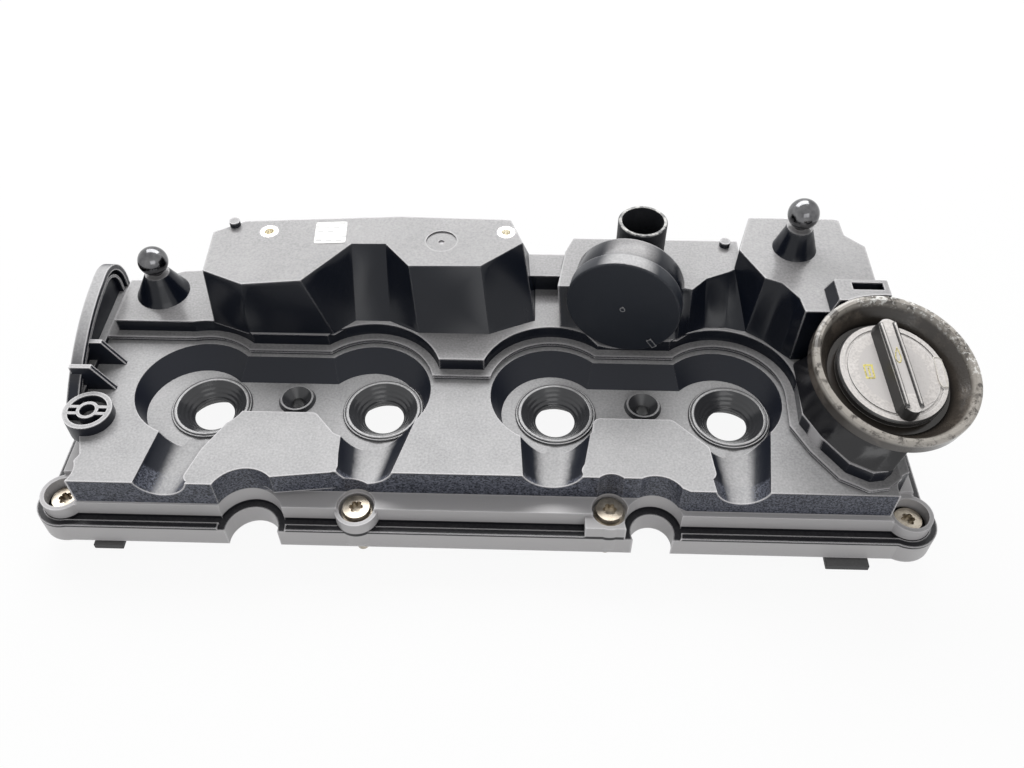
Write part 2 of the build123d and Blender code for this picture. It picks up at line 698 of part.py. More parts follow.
spring_length = reg_can_depth - reg_can_wall
with BuildPart() as regulator_spring:
    coil_length = spring_length - 2 * spring_wire_r - play
    with BuildLine() as coil:
        Helix(
            coil_length / spring_turns,
            coil_length,
            spring_r,
            center=diaphragm_plane.offset(-spring_length + spring_wire_r + play / 2).origin,
            direction=reg_plane.z_dir,
        )
    with BuildSketch(Plane(coil.line @ 0, z_dir=coil.line % 0)) as wire:
        Circle(spring_wire_r)
    sweep(wire.sketch, path=coil.line)
regulator_spring.part.label = "regulator_spring"
export_step(regulator_spring.part, "parts/regulator_spring.step")

# ---------------------------------------------------------------- breather outlet
with BuildPart() as breather_spigot:
    drum(outlet_centre, shelf_height - outlet_spigot, 2 * outlet_spigot, outlet_spigot_r)
    drum(outlet_centre, shelf_height, outlet_top - outlet_edge - shelf_height, outlet_r)
    drum(outlet_centre, outlet_top - outlet_edge, outlet_edge, outlet_r, outlet_r - outlet_edge)
    drum(outlet_centre, low_deck, outlet_top, outlet_r - outlet_wall, mode=Mode.SUBTRACT)
breather_spigot.part.label = "breather_spigot"
export_step(breather_spigot.part, "parts/breather_spigot.step")

# ---------------------------------------------------------------- filler funnel, cap and seal
funnel_drop = cap_below_rim + cap_thickness + seal_thickness
lip_bottom = -funnel_drop - lug_depth
lug_room = lug_height + 2 * lug_play
throat_bottom = lip_bottom - lug_room - funnel_wall

with BuildPart() as filler_funnel:
    turned([
        (0, 0), (rim_r - rim_round, 0), (rim_r - rim_round / 4, -rim_round / 4), (rim_r, -rim_round),
        (rim_r, -2 * rim_band), (neck_outer_r, throat_bottom), (0, throat_bottom),
    ])
    with BuildSketch(rim_plane.offset(throat_bottom)) as neck_top:
        Circle(neck_outer_r)
    with BuildSketch(Plane.XY.offset(low_deck)) as neck_foot:
        with BuildLine():
            Polyline(*neck_outline, close=True)
        make_face()
        fillet(neck_foot.vertices(), neck_corner)
    loft([neck_foot.sketch.face(), neck_top.sketch.face()])
    with BuildSketch(rim_plane.offset(throat_bottom)) as bore_top:
        Circle(neck_outer_r - funnel_wall)
    with BuildSketch(Plane.XY.offset(low_deck)) as bore_foot:
        with BuildLine():
            Polyline(*shifted(neck_outline, funnel_wall), close=True)
        make_face()
        fillet(bore_foot.vertices(), neck_corner - funnel_wall)
    loft([bore_foot.sketch.face(), bore_top.sketch.face()], mode=Mode.SUBTRACT)
    turned([
        (0, over), (rim_r - 1.5 * rim_round, over), (rim_r - 2 * rim_round, -rim_round / 4),
        (rim_r - 3 * rim_round, -2 * rim_round), (funnel_floor_r, -funnel_drop), (mouth_r, -funnel_drop), (mouth_r, lip_bottom),
        (mouth_r + lug_reach + play, lip_bottom), (mouth_r + lug_reach + play, throat_bottom - over),
        (0, throat_bottom - over),
    ], mode=Mode.SUBTRACT)
    with BuildSketch(rim_plane.offset(lip_bottom - over)) as gates:
        with PolarLocations(mouth_r, 2, start_angle=lug_angle):
            Rectangle(2 * (lug_reach + play), 2 * mouth_r * math.sin(math.radians(lug_arc / 2 + gate_play)))
    extrude(gates.sketch, amount=lug_depth + 2 * over, mode=Mode.SUBTRACT)
filler_funnel.part.label = "filler_funnel"
export_step(filler_funnel.part, "parts/filler_funnel.step")

with BuildPart() as filler_cap:
    turned([
        (0, -cap_below_rim), (cap_groove[0], -cap_below_rim), (cap_groove[0], -cap_below_rim - cap_groove[2]),
        (cap_groove[1], -cap_below_rim - cap_groove[2]), (cap_groove[1], -cap_below_rim),
        (cap_r - over, -cap_below_rim), (cap_r, -cap_below_rim - over),
        (cap_r, -cap_below_rim - cap_thickness), (stem_r, -cap_below_rim - cap_thickness),
        (stem_r, lip_bottom - lug_room + lug_play), (stem_r - stem_wall, lip_bottom - lug_room + lug_play),
        (stem_r - stem_wall, -cap_below_rim - cap_thickness + over), (0, -cap_below_rim - cap_thickness + over),
    ])
    with BuildSketch(rim_plane.offset(lip_bottom - lug_play)) as lugs:
        with BuildLine():
            start = PolarLine((0, 0), mouth_r + lug_reach - play, lug_angle - lug_arc / 2)
            CenterArc((0, 0), mouth_r + lug_reach - play, lug_angle - lug_arc / 2, lug_arc)
            PolarLine((0, 0), mouth_r + lug_reach - play, lug_angle + lug_arc / 2)
        make_face()
        mirror(about=Plane(origin=(0, 0, 0), z_dir=(math.cos(math.radians(lug_angle)), math.sin(math.radians(lug_angle)), 0)))
        Circle(stem_r - stem_wall, mode=Mode.SUBTRACT)
    extrude(lugs.sketch, amount=-lug_height)
    with BuildSketch(rim_plane.offset(-cap_below_rim)) as grip:
        SlotOverall(2 * cap_r - 2 * over, grip_width, rotation=grip_turn)
    extrude(grip.sketch, amount=grip_height, taper=grip_taper)
filler_cap.part.label = "filler_cap"
export_step(filler_cap.part, "parts/filler_cap.step")

with BuildPart() as filler_cap_seal:
    turned([
        (stem_r + play, -cap_below_rim - cap_thickness), (stem_r + play + seal_width, -cap_below_rim - cap_thickness),
        (stem_r + play + seal_width, -funnel_drop), (stem_r + play, -funnel_drop),
    ])
filler_cap_seal.part.label = "filler_cap_seal"
export_step(filler_cap_seal.part, "parts/filler_cap_seal.step")

# ---------------------------------------------------------------- seals, screws and small pieces
for number, x in enumerate(injectors, start=1):
    with BuildPart() as injector_seal:
        drum((x, 0), floor_height, seal_lip, seal_lip_r)
        drum((x, 0), floor_height - chimney_length + over, chimney_length - over, injector_bore_r)
        rim_height = floor_height + seal_lip
        drum((x, 0), rim_height - seal_funnel_depth, seal_funnel_depth, seal_hole_r, seal_funnel_r, mode=Mode.SUBTRACT)
        drum((x, 0), 0, rim_height, seal_hole_r, mode=Mode.SUBTRACT)
    injector_seal.part.label = f"injector_seal_{number}"
    export_step(injector_seal.part, f"parts/injector_seal_{number}.step")

for number, x in enumerate(clamps, start=1):
    with BuildPart() as clamp_bolt_seal:
        drum((x, clamp_y), floor_height, clamp_lip, clamp_lip_r, clamp_lip_r - over)
        drum((x, clamp_y), floor_height - clamp_length + over, clamp_length - over, clamp_bore_r)
        rim_height = floor_height + clamp_lip
        drum((x, clamp_y), floor_height - clamp_lip, 2 * clamp_lip, clamp_hole_r, clamp_lip_r - 2 * over, mode=Mode.SUBTRACT)
        drum((x, clamp_y), 0, rim_height, clamp_hole_r, mode=Mode.SUBTRACT)
    clamp_bolt_seal.part.label = f"clamp_bolt_seal_{number}"
    export_step(clamp_bolt_seal.part, f"parts/clamp_bolt_seal_{number}.step")

with BuildPart() as cover_bolts:
    for centre, seat in zip(screws, seats):
        drum(centre, -screw_reach, seat + screw_reach, shank_r)
        drum(centre, -screw_reach, screw_reach - thread_start, screw_r)
        drum(centre, seat, head_flange_height, head_r)
        drum(centre, seat, head_height, head_r - over)
        for turn in range(3):
            with BuildSketch(Plane.XY.offset(seat + head_height - socket_depth)) as socket:
                with Locations(centre):
                    SlotOverall(2 * socket_r, socket_r * 0.7, rotation=60 * turn)
            extrude(socket.sketch, amount=2 * socket_depth, mode=Mode.SUBTRACT)
cover_bolts.part.label = "cover_bolts"
export_step(cover_bolts.part, "parts/cover_bolts.step")

with BuildPart() as bolt_sleeves:
    for centre, seat in zip(screws, seats):
        drum(centre, 0, seat, screw_r + sleeve_play + sleeve_wall)
        drum(centre, -over, seat + 2 * over, screw_r + sleeve_play, mode=Mode.SUBTRACT)
bolt_sleeves.part.label = "bolt_sleeves"
export_step(bolt_sleeves.part, "parts/bolt_sleeves.step")

with BuildPart() as threaded_inserts:
    for centre in inserts:
        drum(centre, block_top - insert_depth, insert_depth, insert_r)
        drum(centre, block_top - insert_depth + over, insert_depth, insert_bore_r, mode=Mode.SUBTRACT)
threaded_inserts.part.label = "threaded_inserts"
export_step(threaded_inserts.part, "parts/threaded_inserts.step")

for name, centre, ball_z in (("ball_stud_left", left_stud, left_ball_z), ("ball_stud_right", right_stud, right_ball_z)):
    with BuildPart() as ball_stud:
        with Locations((*centre, ball_z)):
            Sphere(ball_r)
        drum(centre, ball_z - cone_gap - stud_sink, cone_gap + stud_sink, stud_neck_r)
    ball_stud.part.label = name
    export_step(ball_stud.part, f"parts/{name}.step")

with BuildPart() as baffle_plate:
    block(oblong(*baffle), deck_height, baffle_thickness, baffle_corner)
    with BuildSketch(Plane.XY.offset(deck_height)) as drains:
        with Locations(((baffle[0] + baffle[2]) / 2, (baffle[1] + baffle[3]) / 2)):
            with GridLocations(drain_pitch, drain_pitch / 3, 7, 2):
                Circle(drain_r)
    extrude(drains.sketch, amount=baffle_thickness, mode=Mode.SUBTRACT)
baffle_plate.part.label = "baffle_plate"
export_step(baffle_plate.part, "parts/baffle_plate.step")

with BuildPart() as cover_gasket:
    inner_line = groove_inset + groove_width - gasket_play
    band = flange_ring(-gasket_reach, groove_inset + gasket_play, inner_line)
    extrude(band, amount=gasket_reach + groove_depth)
    for left, right, front in tabs:
        block(
            oblong(left, front, right, flange_front + groove_inset + groove_width - gasket_play),
            -gasket_reach - tab_thickness,
            tab_thickness,
        )
cover_gasket.part.label = "cover_gasket"
export_step(cover_gasket.part, "parts/cover_gasket.step")
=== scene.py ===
import bpy
import math
import numpy as np
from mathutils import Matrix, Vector


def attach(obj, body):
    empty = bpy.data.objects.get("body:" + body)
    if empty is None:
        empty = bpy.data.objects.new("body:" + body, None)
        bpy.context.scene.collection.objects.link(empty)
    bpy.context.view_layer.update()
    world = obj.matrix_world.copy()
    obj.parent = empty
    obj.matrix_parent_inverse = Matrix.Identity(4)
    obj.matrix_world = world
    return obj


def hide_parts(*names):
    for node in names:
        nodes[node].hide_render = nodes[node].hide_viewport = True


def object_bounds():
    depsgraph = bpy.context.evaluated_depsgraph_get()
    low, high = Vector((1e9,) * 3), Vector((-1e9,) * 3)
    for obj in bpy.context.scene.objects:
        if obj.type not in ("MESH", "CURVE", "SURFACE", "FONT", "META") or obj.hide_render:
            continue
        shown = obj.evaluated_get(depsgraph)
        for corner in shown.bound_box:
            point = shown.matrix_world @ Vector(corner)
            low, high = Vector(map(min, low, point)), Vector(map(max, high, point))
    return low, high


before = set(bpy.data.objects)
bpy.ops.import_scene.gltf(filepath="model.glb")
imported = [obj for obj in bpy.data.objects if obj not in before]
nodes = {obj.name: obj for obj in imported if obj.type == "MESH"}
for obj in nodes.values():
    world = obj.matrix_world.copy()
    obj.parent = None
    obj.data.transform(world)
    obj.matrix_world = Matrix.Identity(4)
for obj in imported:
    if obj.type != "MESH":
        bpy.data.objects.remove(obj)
cad_box = [list(corner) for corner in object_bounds()]
scene = bpy.context.scene
scene.view_settings.view_transform = "Standard"

# ------------------------------------------------------------------ lower cover
# The lower half of the valve cover, moulded from glass-filled nylon in one piece with its
# wells, lands, screw bosses and end arch, and screwed to the cylinder head. Its corners are
# rubbed pale, with a painted highlight along them, and oil mist and dust lie on what faces up,
# with a painted sheen of the light from above.


def add_node(tree, kind, inputs=None, **settings):
    """A new node in a tree: first its settings, then the values of its input sockets."""
    node = tree.nodes.new(kind)
    for setting, value in settings.items():
        setattr(node, setting, value)
    for socket, value in (inputs or {}).items():
        node.inputs[socket].default_value = value
    return node


def open_group(name, inputs, outputs):
    """An empty node group with named sockets, and the nodes where they enter and leave."""
    group = bpy.data.node_groups.new(name, "ShaderNodeTree")
    for direction, sockets in (("INPUT", inputs), ("OUTPUT", outputs)):
        for socket, kind in sockets.items():
            group.interface.new_socket(socket, in_out=direction, socket_type=f"NodeSocket{kind}")
    return group, add_node(group, "NodeGroupInput"), add_node(group, "NodeGroupOutput")


def skin_group():
    """Moulded skin: a fine noise as the height of its grain, a slow one as a mask of patches."""
    group, start, end = open_group(
        "moulded_skin",
        {"Vector": "Vector", "Grain": "Float", "Clouds": "Float"},
        {"Height": "Float", "Patches": "Float"},
    )
    grain = add_node(group, "ShaderNodeTexNoise", {"Detail": 3.0})
    clouds = add_node(group, "ShaderNodeTexNoise", {"Detail": 5.0, "Roughness": 0.6})
    for texture, scale, out in ((grain, "Grain", "Height"), (clouds, "Clouds", "Patches")):
        group.links.new(start.outputs["Vector"], texture.inputs["Vector"])
        group.links.new(start.outputs[scale], texture.inputs["Scale"])
        group.links.new(texture.outputs["Fac"], end.inputs[out])
    return group


def dust_and_sheen_group():
    """Dust and a painted sheen of the light from above, as a mask: how far a face looks up, times
    a share from 0.6 to 1 that grows with the sum of the skin's patches and of fine specks."""
    group, start, end = open_group(
        "dust_and_painted_sheen",
        {"Vector": "Vector", "Normal": "Vector", "Patches": "Float"},
        {"Mask": "Float"},
    )
    parts = add_node(group, "ShaderNodeSeparateXYZ")
    # upright parts of the normal of a face 33 degrees off level, and of one 10 degrees off
    steep, level = 0.84, 0.985
    upward = add_node(
        group,
        "ShaderNodeMapRange",
        {"From Min": steep, "From Max": level},
        interpolation_type="SMOOTHSTEP",
    )
    specks = add_node(group, "ShaderNodeTexNoise", {"Scale": 900.0, "Detail": 4.0})
    mottle = add_node(group, "ShaderNodeMath", operation="ADD")
    spread = add_node(
        group, "ShaderNodeMapRange", {"From Min": 0.7, "From Max": 1.3, "To Min": 0.6}
    )
    cover = add_node(group, "ShaderNodeMath", operation="MULTIPLY")
    link = group.links.new
    link(start.outputs["Normal"], parts.inputs["Vector"])
    link(parts.outputs["Z"], upward.inputs["Value"])
    link(start.outputs["Vector"], specks.inputs["Vector"])
    link(specks.outputs["Fac"], mottle.inputs[0])
    link(start.outputs["Patches"], mottle.inputs[1])
    link(mottle.outputs["Value"], spread.inputs["Value"])
    link(spread.outputs["Result"], cover.inputs[0])
    link(upward.outputs["Result"], cover.inputs[1])
    link(cover.outputs["Value"], end.inputs["Mask"])
    return group


def band_group():
    """A part of a piece, as a mask: the dot product of place and axis is the distance along
    the axis, and the mask rises smoothly from 0 at the low distance to 1 at the high one."""
    group, start, end = open_group(
        "band_along",
        {"Vector": "Vector", "Axis": "Vector", "Low": "Float", "High": "Float"},
        {"Mask": "Float"},
    )
    along = add_node(group, "ShaderNodeVectorMath", operation="DOT_PRODUCT")
    rise = add_node(group, "ShaderNodeMapRange", interpolation_type="SMOOTHSTEP")
    link = group.links.new
    link(start.outputs["Vector"], along.inputs[0])
    link(start.outputs["Axis"], along.inputs[1])
    link(along.outputs["Value"], rise.inputs["Value"])
    link(start.outputs["Low"], rise.inputs["From Min"])
    link(start.outputs["High"], rise.inputs["From Max"])
    link(rise.outputs["Result"], end.inputs["Mask"])
    return group


def chips_group():
    """Small irregular chips, as a mask: a noise that rises from 0 to 1 between the threshold
    and the full level, times the mask of the area that the chips lie in."""
    group, start, end = open_group(
        "chips",
        {
            "Vector": "Vector",
            "Scale": "Float",
            "Threshold": "Float",
            "Full": "Float",
            "Area": "Float",
        },
        {"Mask": "Float"},
    )
    noise = add_node(group, "ShaderNodeTexNoise", {"Detail": 6.0, "Roughness": 0.7})
    cut = add_node(group, "ShaderNodeMapRange")
    within = add_node(group, "ShaderNodeMath", operation="MULTIPLY")
    link = group.links.new
    link(start.outputs["Vector"], noise.inputs["Vector"])
    link(start.outputs["Scale"], noise.inputs["Scale"])
    link(noise.outputs["Fac"], cut.inputs["Value"])
    link(start.outputs["Threshold"], cut.inputs["From Min"])
    link(start.outputs["Full"], cut.inputs["From Max"])
    link(cut.outputs["Result"], within.inputs[0])
    link(start.outputs["Area"], within.inputs[1])
    link(within.outputs["Value"], end.inputs["Mask"])
    return group


def corners_group():
    """Rubbed outer corners with a painted highlight along them, as a mask: rays from the skin
    into the piece leave it within the reach where it is thin, so the mask grows from 0 to 1 as
    the share that stays inside falls from 0.84 to 0.6."""
    group, start, end = open_group("rubbed_and_highlit_corners", {"Reach": "Float"}, {"Mask": "Float"})
    inside = add_node(
        group, "ShaderNodeAmbientOcclusion", inside=True, only_local=True, samples=6
    )
    corner = add_node(group, "ShaderNodeMapRange", {"From Min": 0.84, "From Max": 0.6})
    group.links.new(start.outputs["Reach"], inside.inputs["Distance"])
    group.links.new(inside.outputs["AO"], corner.inputs["Value"])
    group.links.new(corner.outputs["Result"], end.inputs["Mask"])
    return group


skin = skin_group()
dust_and_sheen = dust_and_sheen_group()
band = band_group()
chips = chips_group()
corners = corners_group()


def placed(material, group, values):
    """A node group in a material with its own values, on the piece's own coordinates."""
    tree = material.node_tree
    node = add_node(tree, "ShaderNodeGroup", values, node_tree=group)
    if "Vector" in node.inputs:
        place = add_node(tree, "ShaderNodeTexCoord")
        tree.links.new(place.outputs["Object"], node.inputs["Vector"])
    return node


def textured(name, first, second, roughness, grain, clouds, depth, strength):
    """A material that mixes two colours. The skin's grain is its bump, and the skin's
    patches spread its roughness over a range. Gives the material, its skin and its mix."""
    material = bpy.data.materials.new(name)
    material.use_nodes = True
    tree = material.node_tree
    shader = tree.nodes["Principled BSDF"]
    surface = placed(material, skin, {"Grain": grain, "Clouds": clouds})
    colour = add_node(
        tree, "ShaderNodeMix", {"A": (*first, 1.0), "B": (*second, 1.0)}, data_type="RGBA"
    )
    gloss = add_node(
        tree,
        "ShaderNodeMapRange",
        {"From Min": 0.3, "From Max": 0.7, "To Min": roughness[0], "To Max": roughness[1]},
    )
    bump = add_node(tree, "ShaderNodeBump", {"Distance": depth, "Strength": strength})
    link = tree.links.new
    link(surface.outputs["Patches"], gloss.inputs["Value"])
    link(surface.outputs["Height"], bump.inputs["Height"])
    link(colour.outputs["Result"], shader.inputs["Base Color"])
    link(gloss.outputs["Result"], shader.inputs["Roughness"])
    link(bump.outputs["Normal"], shader.inputs["Normal"])
    return material, surface, colour


def moulded(name, base, dust_and_sheen_colour, roughness, grain, depth, clouds=25.0, specular=0.5):
    """A plastic or rubber: its own colour, its colour where it faces up, under dust and a painted
    sheen of the light from above, and its roughness.
    """
    material, surface, colour = textured(
        name, base, dust_and_sheen_colour, roughness, grain, clouds, depth, strength=0.6
    )
    tree = material.node_tree
    tree.nodes["Principled BSDF"].inputs["Specular IOR Level"].default_value = specular
    place = add_node(tree, "ShaderNodeTexCoord")
    dust_and_sheen_node = placed(material, dust_and_sheen, {})
    dust_and_sheen_node.name = "dust_and_sheen"
    tree.links.new(place.outputs["Normal"], dust_and_sheen_node.inputs["Normal"])
    tree.links.new(surface.outputs["Patches"], dust_and_sheen_node.inputs["Patches"])
    tree.links.new(dust_and_sheen_node.outputs["Mask"], colour.inputs["Factor"])
    return material


def dress(name, material, edge=0.0):
    """Gives a solid its material and, where an edge is stated, rounds corners over 28 degrees."""
    piece = nodes[name]
    for slot in piece.material_slots:
        slot.material = material
    if edge:
        weld = piece.modifiers.new("weld", "WELD")
        weld.merge_threshold = 1e-6
        rounding = piece.modifiers.new("rounding", "BEVEL")
        rounding.width = edge
        rounding.segments = 2
        rounding.limit_method = "ANGLE"
        rounding.angle_limit = math.radians(28.0)


def band_along(material, axis, low, high):
    """The mask of what lies past two distances in metres along an axis of the piece."""
    return placed(material, band, {"Axis": axis, "Low": low, "High": high}).outputs["Mask"]


def overlap(material, *masks):
    """The product of masks: 1 only where all of them are 1."""
    result = masks[0]
    for mask in masks[1:]:
        product = add_node(material.node_tree, "ShaderNodeMath", operation="MULTIPLY")
        material.node_tree.links.new(result, product.inputs[0])
        material.node_tree.links.new(mask, product.inputs[1])
        result = product.outputs["Value"]
    return result


def chipped(material, area, scale, threshold, full):
    """The mask of small chips that lie inside an area, which is a mask as well."""
    node = placed(material, chips, {"Scale": scale, "Threshold": threshold, "Full": full})
    material.node_tree.links.new(area, node.inputs["Area"])
    return node.outputs["Mask"]


def recolour(material, mask, colour):
    """Lays a second colour over a material's base colour where the mask is 1."""
    tree = material.node_tree
    shader = tree.nodes["Principled BSDF"]
    below = shader.inputs["Base Color"].links[0].from_socket
    over = add_node(tree, "ShaderNodeMix", {"B": (*colour, 1.0)}, data_type="RGBA")
    tree.links.new(below, over.inputs["A"])
    tree.links.new(mask, over.inputs["Factor"])
    tree.links.new(over.outputs["Result"], shader.inputs["Base Color"])


def rub_and_highlight_corners(material, reach, colour):
    """Lays a pale line along the outer corners, as wear and as a painted highlight, about as
    wide as the reach in metres.
    """
    recolour(material, placed(material, corners, {"Reach": reach}).outputs["Mask"], colour)


cover_skin = moulded(
    "cover_plastic",
    base=(0.009, 0.011, 0.018),
    dust_and_sheen_colour=(0.5, 0.495, 0.5),
    roughness=(0.3, 0.42),
    grain=1500.0,
    depth=0.00012,
    specular=0.3,
)
cover_tree = cover_skin.node_tree
up, down, forward = (0.0, 0.0, 1.0), (0.0, 0.0, -1.0), (0.0, -1.0, 0.0)
faces_up = cover_tree.nodes["dust_and_sheen"].outputs["Mask"]
other_faces = add_node(
    cover_tree, "ShaderNodeMath", {0: 1.0}, operation="SUBTRACT", use_clamp=True
)
cover_tree.links.new(faces_up, other_faces.inputs[1])
# the mould is blasted on the front wall, below the deck
front_wall = band_along(cover_skin, forward, 0.0415, 0.0435)
below_deck = band_along(cover_skin, down, -0.0386, -0.0376)
blasted_area = overlap(cover_skin, front_wall, other_faces.outputs["Value"], below_deck)
blasted = chipped(cover_skin, blasted_area, scale=1100.0, threshold=0.42, full=0.62)
recolour(cover_skin, blasted, (0.15, 0.16, 0.2))
# it is plain from the ledge's height down, and painted pale there as painted light from the front
# and the floor
ledge_height = 0.0226
below_ledge = band_along(cover_skin, down, -ledge_height - 0.0006, -ledge_height)
recolour(cover_skin, below_ledge, (0.5, 0.49, 0.495))
# what faces up on the joint flange is painted dark, a painted reflection of the dark wall above,
# and the groove between its lip and the wall, from just under the flange's top to the lip's
# top, is painted black as the shade in it
lip_top, groove_bottom = 0.0133, 0.0112
below_lip = band_along(cover_skin, down, -lip_top - 0.0004, -lip_top)
recolour(cover_skin, overlap(cover_skin, below_lip, faces_up), (0.06, 0.062, 0.075))
above_groove = band_along(cover_skin, up, groove_bottom, groove_bottom + 0.0004)
recolour(cover_skin, overlap(cover_skin, below_lip, above_groove), (0.012, 0.012, 0.015))
rub_and_highlight_corners(cover_skin, 0.0011, (0.66, 0.65, 0.66))
dress("base_cover", cover_skin)

# ------------------------------------------------------------------ breather housing
# The oil separator's housing, a second moulding of the same nylon, welded on the lower
# cover's seam. It is smoother: near black on its steep front walls, and pale on top with dust
# and a painted sheen of the light from above.
housing_skin = moulded(
    "housing_plastic",
    base=(0.006, 0.008, 0.014),
    dust_and_sheen_colour=(0.36, 0.353, 0.356),
    roughness=(0.16, 0.28),
    grain=1900.0,
    depth=0.00004,
    specular=0.3,
)
rub_and_highlight_corners(housing_skin, 0.0014, (0.5, 0.49, 0.5))
dress("breather_housing", housing_skin, edge=0.0018)

# the plate that closes the separator from below, welded in and dull with oil
inner_skin = moulded(
    "inner_plastic",
    base=(0.03, 0.03, 0.033),
    dust_and_sheen_colour=(0.08, 0.08, 0.08),
    roughness=(0.4, 0.55),
    grain=1500.0,
    depth=0.0001,
)
dress("baffle_plate", inner_skin)

# ------------------------------------------------------------------ paper label
# A small square sheet of white paper, glued on the housing's top. Its print is nothing but
# grey blocks of plain tone.


def skin_mesh(name, rows, material, body, endless=False, smooth=True):
    """A closed skin over a grid of points: rows, times the places around each row.

    A face joins two neighbours of a row to the same two of the next row. The last row meets
    the first one where the skin is endless, and otherwise a fan from the mean of its points
    closes each end. The sum of a . (b x c) over the faces is six times the volume: where it
    is negative, the faces are turned round, so that they point outwards."""
    rows = np.asarray(rows, dtype=float)
    count, around = rows.shape[:2]
    points = rows.reshape(-1, 3)
    turn = np.arange(around)
    after = (turn + 1) % around
    steps = np.arange(count if endless else count - 1)[:, None]
    here, there = steps * around, (steps + 1) % count * around
    quads = np.stack([here + turn, here + after, there + after, there + turn], axis=-1)
    quads = quads.reshape(-1, 4)
    fans = np.empty((0, 3), dtype=int)
    if not endless:
        points = np.vstack([points, rows[0].mean(axis=0), rows[-1].mean(axis=0)])
        last_row = (count - 1) * around
        start, end = np.full(around, count * around), np.full(around, count * around + 1)
        start_fan = np.stack([start, after, turn], axis=-1)
        end_fan = np.stack([end, last_row + turn, last_row + after], axis=-1)
        fans = np.vstack([start_fan, end_fan])
    a, b, c = points[np.vstack([quads[:, :3], fans])].transpose(1, 0, 2)
    volume = (a * np.cross(b, c)).sum()
    if volume < 0.0:
        quads, fans = quads[:, ::-1], fans[:, ::-1]
    mesh = bpy.data.meshes.new(name)
    mesh.from_pydata(points.tolist(), [], quads.tolist() + fans.tolist())
    mesh.polygons.foreach_set("use_smooth", [smooth] * len(mesh.polygons))
    mesh.materials.append(material)
    piece = bpy.data.objects.new(name, mesh)
    scene.collection.objects.link(piece)
    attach(piece, body)
    return piece


def pad(name, centre, across, along, size, thickness, material, body, power):
    """A thin pad on a flat face. Its outline is a superellipse, on which
    |x / half width| ** power + |y / half length| ** power is 1. Its rows are the outline
    half a thickness below and above the centre, and at its full height the outline drawn in
    by the thickness."""
    across, along = np.array(across, dtype=float), np.array(along, dtype=float)
    upward = np.cross(across, along)
    angle = np.linspace(0.0, 2.0 * math.pi, 48, endpoint=False)
    reach = (np.abs(np.cos(angle)) ** power + np.abs(np.sin(angle)) ** power) ** (-1.0 / power)
    outline = np.outer(reach * np.cos(angle) * size[0] / 2, across)
    outline += np.outer(reach * np.sin(angle) * size[1] / 2, along)
    share = np.array((1.0, 1.0, 1.0 - thickness / min(size)))[:, None, None]
    rise = np.array((-thickness / 2, thickness / 2, thickness))[:, None, None]
    rows = centre + outline * share + upward * rise
    return skin_mesh(name, rows, material, body, smooth=False)


paper_label = bpy.data.materials.new("paper_label")
paper_label.use_nodes = True
label_tree = paper_label.node_tree
label_place = add_node(label_tree, "ShaderNodeTexCoord")
blocks = add_node(
    label_tree,
    "ShaderNodeTexBrick",
    {
        "Color1": (0.55, 0.55, 0.55, 1.0),
        "Color2": (0.75, 0.75, 0.74, 1.0),
        "Mortar": (0.9, 0.9, 0.88, 1.0),
        "Scale": 1.0,
        "Mortar Size": 0.0012,
        "Brick Width": 0.0052,
        "Row Height": 0.0036,
    },
)
label_shader = label_tree.nodes["Principled BSDF"]
label_shader.inputs["Roughness"].default_value = 0.6
label_tree.links.new(label_place.outputs["Object"], blocks.inputs["Vector"])
label_tree.links.new(blocks.outputs["Color"], label_shader.inputs["Base Color"])
pad(
    "paper_label",
    centre=np.array((-0.0753, 0.0768, 0.0841)),
    across=(0.998, 0.07, 0.0),
    along=(-0.07, 0.998, 0.0),
    size=(0.0165, 0.0175),
    thickness=0.0002,
    material=paper_label,
    body="cover",
    power=24.0,
)

# ------------------------------------------------------------------ pressure regulator
# The valve that holds the crankcase at a slight vacuum: a black nylon lid clipped on the can
# in the housing, over a rubber diaphragm that carries a steel plate on a wire spring.
lid_skin = moulded(
    "lid_plastic",
    base=(0.014, 0.017, 0.024),
    dust_and_sheen_colour=(0.55, 0.545, 0.55),
    roughness=(0.36, 0.5),
    grain=1400.0,
    depth=0.0001,
    specular=0.3,
)
rub_and_highlight_corners(lid_skin, 0.0009, (0.3, 0.3, 0.31))
dress("regulator_lid", lid_skin, edge=0.0006)
diaphragm_skin = moulded(
    "diaphragm_rubber",
    base=(0.02, 0.02, 0.02),
    dust_and_sheen_colour=(0.05, 0.05, 0.05),
    roughness=(0.5, 0.65),
    grain=900.0,
    depth=0.00005,
)
dress("regulator_diaphragm", diaphragm_skin)


def plated(name, dark, light, roughness, grain, depth):
    """A bare or plated metal: its tone drifts between two colours with the skin's patches."""
    material, surface, colour = textured(
        name, dark, light, roughness, grain, clouds=160.0, depth=depth, strength=0.5
    )
    tree = material.node_tree
    tree.nodes["Principled BSDF"].inputs["Metallic"].default_value = 1.0
    tone = add_node(tree, "ShaderNodeMapRange", {"From Min": 0.35, "From Max": 0.65})
    tree.links.new(surface.outputs["Patches"], tone.inputs["Value"])
    tree.links.new(tone.outputs["Result"], colour.inputs["Factor"])
    return material


plate_metal = plated(
    "plate_steel",
    dark=(0.45, 0.45, 0.45),
    light=(0.6, 0.6, 0.6),
    roughness=(0.25, 0.4),
    grain=900.0,
    depth=0.00003,
)
spring_metal = plated(
    "spring_steel",
    dark=(0.35, 0.35, 0.36),
    light=(0.5, 0.5, 0.5),
    roughness=(0.25, 0.4),
    grain=900.0,
    depth=0.00003,
)
dress("regulator_plate", plate_metal)
dress("regulator_spring", spring_metal)

